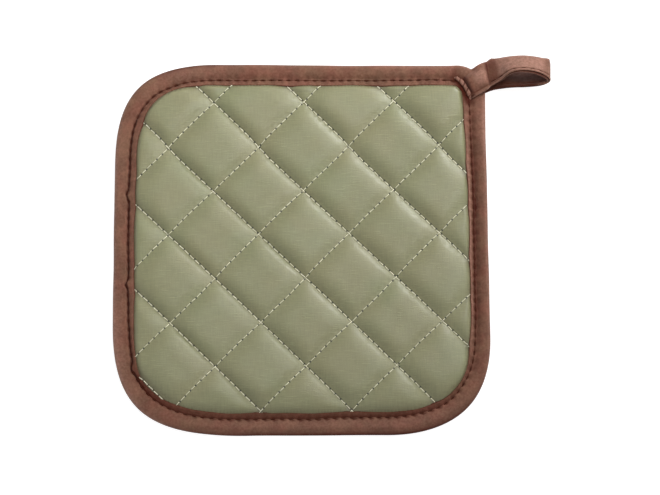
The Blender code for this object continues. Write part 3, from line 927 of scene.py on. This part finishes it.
def makeBinding():
    groove, lip = grooveInset, lipInset
    outer = readEdge(1) + 0.08 * alongEdge(16, 25)
    gape, crown, sunk, lean = (readEdge(column) for column in (4, 5, 6, 7))
    lean, fall = np.maximum(lean, 0), np.maximum(-lean, 0)
    dent = bumpsAlong(binding["dents"])
    # paler along the edge: patches of wear and painted highlight, and painted highlight where the roll leans
    paler = bumpsAlong(binding["wornAndLit"]) + 0.2 * lean
    stitch = atStitches(0)
    puffed = (0.5 - stitch) * (1 - 0.7 * gape)  # roll and lip swell between the stitches
    pulls = [binding["pull"] * fall * smooth(1.5 * atStitches(behind) - 0.3) for behind in (0.6, 1.2, 1.8)]
    closed = between((binding["shutGroove"], binding["stitchGroove"]), smooth(1.6 * stitch - 0.2))
    grooveHeight = closed + (binding["openGroove"] - closed) * gape
    grooveFloor = grooveHeight + 0.15 - 0.2 * sunk
    # painted shade in the groove, darkest where it gapes, where the roll leans and under each stitch
    grooveShade = 0.35 + 0.65 * np.clip(np.maximum(0.65 * gape + 0.8 * lean, 1.4 * stitch - 0.2), 0, 1)
    halfGap = 0.18 + 0.24 * gape + 0.28 * smooth(1.5 * stitch - 0.3) + 0.14 * lean
    lipHeight = binding["lipHeight"] + 0.10 * alongEdge(12, 23) - 0.8 * sunk
    roll = binding["rollHeight"] + 0.14 * alongEdge(9, 24) - dent
    shoulder = roll - 0.75 * crown - 0.8 * lean + 0.3 * puffed + 0.16 * alongEdge(5, 26)
    back = binding["backHeight"]
    rows = [
        # inset, height, wear and painted highlight, painted shade, from under the lip over the roll to the
        # back and into the fold
        (lip - 1.4, 0.45, 0, 1),
        (lip - 0.1, 0.6, 0, 1),
        (lip + 0.3, 1.05, 0, 1),
        (lip + 0.15, lipHeight - 0.65, 0, 0.9),
        (lip - 0.15, lipHeight - 0.15, 0.1, 0.7 + 0.2 * lean),
        (lip - 0.7, lipHeight + 0.1 * puffed, 0.28 - 0.2 * sunk + 0.6 * lean, 0.05 + 0.45 * sunk),
        (
            lip - 0.45 * (lip - groove),
            lipHeight - 0.22 + 0.35 * puffed,
            0.06 - 0.06 * sunk + 0.75 * lean,
            0.6 * sunk,
        ),
        (
            groove + halfGap + 0.55,
            lipHeight - 0.5 + 0.5 * puffed + 0.2 * sunk,
            0.08 - 0.08 * sunk,
            0.7 * sunk,
        ),
        (
            groove + halfGap,
            lipHeight - 0.95 + 0.4 * puffed + 0.4 * sunk,
            0,
            0.15 + 0.3 * gape + 0.7 * sunk + 0.3 * lean,
        ),
        (groove + 0.4 * halfGap, grooveFloor, 0, grooveShade),
        (groove - 0.4 * halfGap, grooveFloor, 0, grooveShade),
        (
            groove - halfGap - pulls[0],
            0.5 * (grooveHeight + shoulder),
            0,
            0.1 + 0.3 * gape + 0.8 * lean + pulls[0],
        ),
        (
            groove - halfGap - 0.5 - pulls[1],
            shoulder - 0.35 - 0.2 * lean - 0.6 * pulls[1],
            0.15 * fall,
            0.5 * lean + pulls[1],
        ),
        (
            groove - halfGap - 1.4,
            shoulder + 0.1 - 0.3 * pulls[2],
            0.26 * fall,
            0.08 + 0.25 * lean,
        ),
        (0.58 * groove, roll - 0.75 * lean, 0.26 * fall + 0.2 * paler, 0.5 * dent + 0.1 * lean),
        (
            0.40 * groove + 0.3 * outer,
            roll - 0.03 * crown - 0.2 * lean,
            0.26 * fall + 0.3 * paler,
            0.5 * dent,
        ),
        (
            0.24 * groove + 0.7 * outer,
            roll - 0.3 * crown * (1 - lean) - 0.4 * fall,
            0.1 + 0.5 * paler,
            0.4 * dent,
        ),
        (1.0 + outer, roll - 0.5 - 0.4 * crown * (1 - lean) - 0.6 * fall, 0.2 + paler, 0.5 * fall),
        (0.3 + outer, 1.25 - 0.3 * fall, 0.2 + paler, 0.8 * fall),
        (outer, 0.3, 0.1 + 0.5 * paler, 0.9 * fall),
        (0.15 + outer, -0.8, 0, 0.2),
        (0.8 + outer, -1.75, 0, 0.3),
        (2.0, back + 0.08, 0, 0),
        (4.5, back, 0, 0),
        (7.6, back, 0, 0),
        (8.5, back + 0.3, 0, 0.1),
        (9.1, back + 0.75, 0, 0.5),
        (9.7, back + 0.3, 0, 0.1),
        (10.5, back, 0, 0),
        (11.6, back + 0.05, 0, 0),
        (12.1, back + 0.5, 0.2, 0.4),
        (11.8, -1.1, 0, 0.6),
        (8.0, -0.9, 0, 1),
        (2.4, -0.8, 0, 1),
        (1.6, -0.1, 0, 1),
        (2.4, 0.4, 0, 1),
        (6.0, 0.35, 0, 1),
    ]
    sheet, wearAndHighlight, depth = [], [], []
    for inset, height, wornAndLit, deep in rows:
        plan = edgePlace(edge, inset)
        height = np.broadcast_to(height, edge["count"])
        pressed = underTab(plan[:, 0], plan[:, 1]) * smooth((height - 0.9) / 0.8)
        raised = square["middle"] + height - pressed + cornerLift(plan[:, 0], plan[:, 1])
        sheet.append(np.column_stack((plan, raised)))
        wearAndHighlight.append(np.broadcast_to(wornAndLit, edge["count"]))
        # painted shade from the rows, and more in the hollow beside the corner fold
        fade = smooth((inset - 4.0) / 5) * (height > 0.5)
        depth.append(deep + 0.85 * shadeBesideFold(plan[:, 0], plan[:, 1]) * fade)
    return makeTapeMesh("edgeBinding", sheet, wearAndHighlight, depth, True)


edgeBinding = makeBinding()
print("binding made:", len(edgeBinding.data.polygons), "faces")


def makeBindingStitches(name, onTop):
    pitch = edge["length"] / binding["stitches"]
    half = tapeThread["shown"] * pitch / 2
    middle = np.arange(binding["stitches"]) * pitch
    deep = between((binding["stitchGroove"], binding["openGroove"]), readEdge(4))
    ends = []
    for shift, slant in ((-half, 0.12), (half, -0.12)):
        inset = grooveInset + slant if onTop else np.full(edge["count"], binding["backGroove"])
        height = deep + 0.15 if onTop else np.full(edge["count"], binding["backHeight"] + 0.7)
        plan = edgePlace(edge, inset)
        line = np.column_stack((plan, square["middle"] + height + cornerLift(plan[:, 0], plan[:, 1])))
        place = (middle + shift) % edge["length"]
        at = [np.interp(place, run, values, period=edge["length"]) for values in line.T]
        ends.append(np.column_stack(at))
    kept = (ends[0][:, 0] < corner["stitchless"]) | (ends[0][:, 1] < corner["stitchless"])
    starts, ends = ends[0][kept], ends[1][kept]
    up = pointing(onTop, len(starts))
    return makeStitches(name, starts, ends, up, tapeThread["radius"], tapeThread, tapeThreadMaterial)


bindingStitches = makeBindingStitches("bindingStitches", True)
bindingStitchesBack = makeBindingStitches("bindingStitchesBack", False)
print("binding stitched")

# ---- the hanging loop

loop = {
    "halfWidth": 6.7,
    "halfThick": 0.8,
    "stitchAt": 4.7,  # distance of its stitches from the middle of the tape
    "stitchPitch": 4.7,
    "stitchFrom": 16,  # distance of the first stitch from the start of the loop
    "stitchUpTo": 18,  # and of the last from its end
    "turnRow": 15,  # the row of the route where the loop turns back
    "tabEnd": 12.4,  # how far along the loop its part on the corner ends
    "tabCrown": 1.7,
    "creaseAt": 13.3,
    "steps": 8,
    "cutWidth": 36,
    # distance along the loop, and from its middle to the edge away from the stitches
    "farEdge": [
        (0, 9.2),
        (4, 8.5),
        (8, 7.7),
        (12, 7.9),
        (15, 7.8),
        (18, 8.1),
        (20, 7.5),
        (23, 7.1),
        (28, 6.7),
    ],
    # middle of the tape, heading and rise of the direction across it
    "route": [
        (89.3, 89.8, 6.1, 27, 0),
        (91.6, 91.0, 7.3, 27, 0),
        (94.8, 92.7, 8.2, 27, 0),
        (97.6, 94.2, 8.7, 23, 0),
        (99.6, 95.5, 8.2, 14, 1),
        (100.8, 96.4, 6.9, 6, 2),
        (102.0, 97.2, 7.0, 7, 5),
        (104.0, 98.1, 8.0, 9, 9),
        (107.5, 99.3, 9.8, 10, 20),
        (111.5, 100.5, 12.9, 3, 32),
        (115.6, 101.1, 14.5, -2, 38),
        (120.5, 101.2, 15.0, -2, 39),
        (126.0, 100.7, 14.3, -2, 38),
        (130.0, 99.9, 13.0, -3, 35),
        (133.0, 98.8, 11.6, -3, 31),
        (133.7, 97.6, 10.1, -2, 30),
        (132.7, 96.7, 8.8, -2, 31),
        (130.0, 95.8, 7.4, -2, 34),
        (126.0, 95.2, 6.2, -2, 37),
        (120.5, 94.9, 5.4, -2, 38),
        (115.6, 95.0, 5.2, 0, 36),
        (110.5, 95.6, 4.4, 8, 26),
        (105.5, 96.0, 2.8, 18, 12),
        (101.0, 95.7, 1.5, 25, 3),
        (96.5, 94.2, 0.9, 27, 0),
        (90.0, 90.9, 0.87, 27, 0),
    ],
}


def loopStations():
    # the middle of the tape, the direction across it and the direction out of it, all along the loop
    fine = throughPoints(loop["route"], loop["steps"])
    heading, rise = np.radians(fine[:, 3]), np.radians(fine[:, 4])
    across = (np.sin(heading) * np.cos(rise), -np.cos(heading) * np.cos(rise), np.sin(rise))
    across = np.stack(across, axis=1)
    normal = np.cross(across, np.gradient(fine[:, :3], axis=0))
    normal /= np.linalg.norm(normal, axis=1)[:, None]
    return fine[:, :3], across, normal


def makeLoop():
    middle, across, normal = loopStations()
    count = len(middle)
    walked = walkedAlong(middle)
    total = walked[-1]
    half, thick = loop["halfWidth"], loop["halfThick"]
    stitch = loop["stitchAt"]
    onTab = smooth((loop["tabEnd"] - walked) / 2.5)  # 1 on the corner, 0 on the free loop
    crown = loop["tabCrown"] * onTab * smooth(walked / 4)
    parted = smooth((walked - 24) / 22) * smooth((total - 40 - walked) / 10)  # where the folded edges part
    flatten = smooth(walked / 2.6) * smooth((total - walked) / 2.6)  # the ends are folded thin
    turn = walked[loop["turnRow"] * loop["steps"]]
    far = np.interp(walked, *np.transpose(loop["farEdge"]))
    far = far + 1.5 * smooth(1 - np.abs(walked - turn) / 7)  # wider where it turns back
    droop = 1.8 * smooth(walked / 3) * smooth((11 - walked) / 5)  # its far edge hangs over the corner
    lit = 0.8 * smooth((walked - 19) / 4) * smooth((total / 2 - walked) / 4)  # painted light on the upper leg
    tabHighlight = 1.1 * smooth(1.2 - np.abs(walked - 9.5) / 4)  # painted highlight, with rubbed wear, on the top of the tab
    # in shadow at its sewn end, in the crease where it leaves the corner, and on a little past that
    dark = 0.85 * smooth(1.35 - walked / 3) + 0.85 * smooth(1 - np.abs(walked - loop["creaseAt"]) / 1.2)
    dark = dark + 0.42 * smooth(walked - 13) * smooth((23 - walked) / 4)
    outer = half - 0.3 * parted
    inner = half + 0.9 * parted
    gap = 0.06 + 0.24 * parted
    under = smooth((walked - turn - 3) / 8)  # 1 on the leg that comes back under the corner
    paler = 0.7 * (1 - under)
    rows = [
        # distance across from the middle, height, wear and painted highlight, painted shade, over the
        # upper face and back under the lower
        (outer, 0.5 * thick, paler, 0.6 * under),
        (outer - 0.35, 0.98 * thick, paler, 0.6 * under),
        (outer - 0.9, 1.15 * thick, 0.5 * paler + lit, dark),
        (stitch + 0.6, 1.0 * thick, 0.1, dark),
        (stitch, 0.45 * thick, 0, 0.5),
        (stitch - 0.7, 0.95 * thick, 0.1 + lit, dark),
        (2.2, thick + 0.6 * crown, 0.1 + lit + 0.5 * tabHighlight, dark),
        (0.0, thick + crown, 0.1 + lit + tabHighlight, dark),
        (-2.5, thick + 0.9 * crown, 0.1 + lit + tabHighlight, dark),
        (-4.6, thick + 0.35 * crown, lit + 0.5 * tabHighlight, dark),
        (-6.0, 0.9 * thick, 0.2 + lit, dark),
        (-0.5 * (5 + far), 0.75 * thick, 0.2 + 0.5 * lit, dark),
        (0.1 - far, 0.55 * thick, 0.4, 0.5 * dark),
        (-far, 0.0, 0.3, 0),
        (0.1 - far, -0.55 * thick, 0, 0.3),
        (-6.0, -0.95 * thick, 0, 0.75),
        (-3.0, -thick, 0, 0.75),
        (0.0, -thick, 0, 0.7),
        (stitch - 0.7, -0.95 * thick, 0, 0.65),
        (stitch, -0.55 * thick, 0, 0.7),
        (stitch + 0.6, -1.0 * thick, 0, 0.5 + 0.3 * under),
        (inner - 1.0, -1.05 * thick, 0, 0.3 + 0.5 * under),
        (inner - 0.25, -0.95 * thick, paler, 0.8 * under),
        (inner, -0.55 * thick, paler, 0.8 * under),
        (inner - 0.3, -0.2 * thick - 0.5 * gap, 0, 0.8),
        (3.0, -gap, 0, 1),
        (-2.0, -gap, 0, 1),
        (-5.6, -gap, 0, 1),
        (-5.6, gap, 0, 1),
        (-2.0, gap, 0, 1),
        (3.0, gap, 0, 1),
        (outer - 0.3, 0.15 * thick + 0.5 * gap, 0, 0.8),
    ]
    sheet, wearAndHighlight, depth = [], [], []
    for place, height, wornAndLit, deep in rows:
        bent = droop * smooth((-place - 3.5) / (far - 3.5))
        height = (height * (0.25 + 0.75 * flatten) - bent)[:, None]
        place = np.broadcast_to(place, count)[:, None]
        sheet.append(middle + across * place + normal * height)
        wearAndHighlight.append(np.broadcast_to(wornAndLit, count))
        depth.append(np.broadcast_to(deep, count))
    return makeTapeMesh("hangingLoop", sheet, wearAndHighlight, depth, False)


hangingLoop = makeLoop()
print("loop made:", len(hangingLoop.data.polygons), "faces")


def makeLoopStitches():
    middle, across, normal = loopStations()
    walked = walkedAlong(middle)
    line = middle + across * loop["stitchAt"] + normal * (0.45 * loop["halfThick"] + 0.05)
    first = np.arange(loop["stitchFrom"], walked[-1] - loop["stitchUpTo"], loop["stitchPitch"])
    last = first + tapeThread["shown"] * loop["stitchPitch"]
    ends = [np.column_stack([np.interp(at, walked, values) for values in line.T]) for at in (first, last)]
    up = np.column_stack([np.interp((first + last) / 2, walked, values) for values in normal.T])
    return makeStitches("loopStitches", *ends, up, tapeThread["radius"], tapeThread, tapeThreadMaterial)


loopStitches = makeLoopStitches()

# ---- the folded edge that turns the corner beside the loop's end


def makeCornerFold():
    fine = throughPoints(corner["route"], corner["steps"])
    count = len(fine)
    side = np.cross(np.gradient(fine, axis=0), (0, 0, 1))
    side /= np.linalg.norm(side, axis=1)[:, None]
    share = np.linspace(0, 1, count)
    size = 0.55 + 0.45 * smooth(share / 0.2) * smooth((1 - share) / 0.2) + 0.05 * np.sin(share * 19)
    turn = np.arange(corner["sides"]) * 2 * math.pi / corner["sides"]
    outward = side[None] * (corner["halfWidth"] * np.cos(turn))[:, None, None]
    upward = np.array((0, 0, 1)) * (corner["halfThick"] * np.sin(turn))[:, None, None]
    points = fine[None] + (outward + upward) * size[None, :, None]
    faces = gridFaces(corner["sides"], count, True, False)[:, ::-1].tolist()
    faces.append([row * count for row in reversed(range(corner["sides"]))])
    faces.append([row * count + count - 1 for row in range(corner["sides"])])
    # painted highlight on its upper side, painted shade on its sides and underneath, and dark slanted
    # notches
    wearAndHighlight = np.broadcast_to(np.maximum(np.sin(turn), 0)[:, None] * 1.1, points.shape[:2])
    slant = 2 * math.pi * corner["notches"] * share[None] + 1.2 * turn[:, None]
    notch = smooth(3 * np.cos(slant) - 1.7)
    depth = np.clip((0.85 - 0.85 * smooth(np.sin(turn) * 1.3))[:, None] + 0.8 * notch, 0, 1)
    marks = {"wearAndHighlight": wearAndHighlight.ravel(), "depth": depth.ravel()}
    return makeMesh("cornerFold", points.reshape(-1, 3), faces, tapeMaterial, marks)


cornerFold = makeCornerFold()
print("corner made")

# ---- every piece rides on the one body and stands for its solid

quiltPieces = [quiltedPad, quiltStitches, backStitches]
edgePieces = [bindingStitches, bindingStitchesBack, cornerFold]
tapePieces = [edgeBinding, hangingLoop, loopStitches] + edgePieces
for piece in quiltPieces + tapePieces:
    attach(piece, "root")
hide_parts("quilted_pad")
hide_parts("binding")
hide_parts("hanging_loop")
loopLength = walkedAlong(loopStations()[0])[-1]

# ---- floor, light and camera

studio = {
    "fill": 0.3,
    # turn is from the top of the picture to the right; shine tells whether the cloth mirrors the lamp
    "lamps": [
        {
            "name": "overhead",
            "power": 2.24,
            "size": 0.7,
            "away": 1.15,
            "turn": 38,
            "height": 62,
            "spread": 64,
            "shine": False,
        },
        {
            "name": "window",
            "power": 0.77,
            "size": 0.16,
            "away": 0.5,
            "turn": 37.5,
            "height": 20,
            "spread": 180,
            "shine": True,
        },
        {
            "name": "card",
            "power": 0.045,
            "size": 0.24,
            "away": 0.32,
            "turn": -100,
            "height": 28,
            "spread": 180,
            "shine": False,
        },
    ],
    "lampAim": (-0.165, 0.225, 0),
    "floorHalf": 6000,
    "floorHeight": -0.05,
    "floorGrey": 0.35,
    "floorGlow": 0.92,
    "cameraLens": 243.69,
    "cameraTilt": 12.0,
    "cameraDistance": 2.4,
    "cameraAim": (0.0153, 0.0017, 0.005),
}


def makeLamp(lamp):
    turn, height = math.radians(lamp["turn"]), math.radians(lamp["height"])
    level = math.cos(height)
    toLight = np.array((math.sin(turn) * level, math.cos(turn) * level, math.sin(height)))
    light = bpy.data.lights.new(lamp["name"], "AREA")
    light.energy = lamp["power"]
    light.size = lamp["size"]
    light.spread = math.radians(lamp["spread"])
    stand = bpy.data.objects.new(lamp["name"], light)
    stand.location = toLight * lamp["away"]
    aim = Vector(studio["lampAim"]) - stand.location
    stand.rotation_euler = aim.to_track_quat("-Z", "Y").to_euler()
    stand.visible_glossy = lamp["shine"]
    bpy.context.scene.collection.objects.link(stand)


def makeStudio():
    scene = bpy.context.scene
    scene.view_settings.view_transform = "Standard"
    world = bpy.data.worlds.new("paleStudio")
    world.use_nodes = True
    background = world.node_tree.nodes["Background"]
    background.inputs["Color"].default_value = (1, 1, 1, 1)
    background.inputs["Strength"].default_value = studio["fill"]
    scene.world = world
    for lamp in studio["lamps"]:
        makeLamp(lamp)


def makeFloor():
    material = bpy.data.materials.new("paleFloor")
    material.use_nodes = True
    shader = material.node_tree.nodes["Principled BSDF"]
    grey, half, height = studio["floorGrey"], studio["floorHalf"], studio["floorHeight"]
    shader.inputs["Base Color"].default_value = (grey, grey, grey, 1)
    shader.inputs["Roughness"].default_value = 0.9
    shader.inputs["Emission Color"].default_value = (1, 1, 1, 1)
    shader.inputs["Emission Strength"].default_value = studio["floorGlow"]
    points = [(-half, -half, height), (half, -half, height), (half, half, height), (-half, half, height)]
    floor = makeMesh("floor", points, [(0, 1, 2, 3)], material)


def makeCamera():
    camera = bpy.data.cameras.new("camera")
    camera.lens = studio["cameraLens"]
    camera.sensor_width = 36
    eye = bpy.data.objects.new("camera", camera)
    tilt = math.radians(studio["cameraTilt"])
    x, y, z = studio["cameraAim"]
    away = studio["cameraDistance"]
    eye.location = (x, y - away * math.sin(tilt), z + away * math.cos(tilt))
    eye.rotation_euler = (tilt, 0, 0)
    bpy.context.scene.collection.objects.link(eye)
    bpy.context.scene.camera = eye


makeStudio()
makeFloor()
makeCamera()
